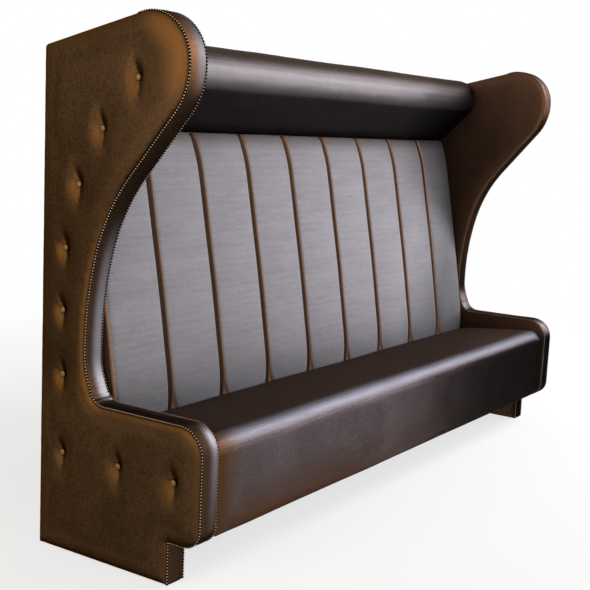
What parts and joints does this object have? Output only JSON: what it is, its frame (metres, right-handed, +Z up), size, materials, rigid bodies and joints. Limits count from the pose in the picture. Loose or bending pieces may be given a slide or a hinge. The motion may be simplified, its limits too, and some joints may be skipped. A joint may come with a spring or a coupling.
{
  "type": "restaurant booth bench",
  "caption": "High-back restaurant booth bench with winged padded side panels, a boxed seat, a channelled fabric back and a leatherette head roll.",
  "frame": {"origin": "on the floor, at the middle of the bench's outline seen from above", "axes": "+X along the bench, -Y the way the sitter looks, +Y towards the wall behind, +Z up"},
  "size_m": [2.676, 0.664, 1.6669],
  "materials": {
    "panel_leatherette": "satin, metallic bronze sheen",
    "seat_leatherette": "satin",
    "strip_leatherette": "satin",
    "channel_fabric": "matt woven",
    "plywood": "bare",
    "rear_hardboard": "dark faced hardboard",
    "steel": "zinc plated",
    "dust_cloth": "thin non-woven",
    "glide_plastic": "moulded"
  },
  "bodies": {
    "root": {"back_board": "plywood", "back_channel_1": "channel_fabric", "back_channel_2": "channel_fabric", "back_channel_3": "channel_fabric", "back_channel_4": "channel_fabric", "back_channel_5": "channel_fabric", "back_channel_6": "channel_fabric", "back_channel_7": "channel_fabric", "back_channel_8": "channel_fabric", "back_channel_9": "channel_fabric", "back_ribs": "plywood", "back_strip_1": "strip_leatherette", "back_strip_2": "strip_leatherette", "back_strip_3": "strip_leatherette", "back_strip_4": "strip_leatherette", "back_strip_5": "strip_leatherette", "back_strip_6": "strip_leatherette", "back_strip_7": "strip_leatherette", "back_strip_8": "strip_leatherette", "back_top_board": "plywood", "floor_glides": "glide_plastic", "head_roll": "seat_leatherette", "left_back_end_rib": "plywood", "left_edge_band": "panel_leatherette", "left_foot_band": "panel_leatherette", "left_front_band": "panel_leatherette", "left_inner_face_pad": "panel_leatherette", "left_outer_face_pad": "panel_leatherette", "left_panel_bolts": "steel", "left_panel_buttons": "panel_leatherette", "left_panel_core": "plywood", "left_panel_inserts": "steel", "left_seat_end_board": "plywood", "rear_board": "rear_hardboard", "right_back_end_rib": "plywood", "right_edge_band": "panel_leatherette", "right_foot_band": "panel_leatherette", "right_front_band": "panel_leatherette", "right_inner_face_pad": "panel_leatherette", "right_outer_face_pad": "panel_leatherette", "right_panel_bolts": "steel", "right_panel_buttons": "panel_leatherette", "right_panel_core": "plywood", "right_panel_inserts": "steel", "right_seat_end_board": "plywood", "seat_corner_blocks": "plywood", "seat_cross_bearers": "plywood", "seat_cushion": "seat_leatherette", "seat_deck": "plywood", "seat_dust_cover": "dust_cloth", "seat_front_rail": "plywood", "seat_rear_rail": "plywood"}
  },
  "joints": []
}
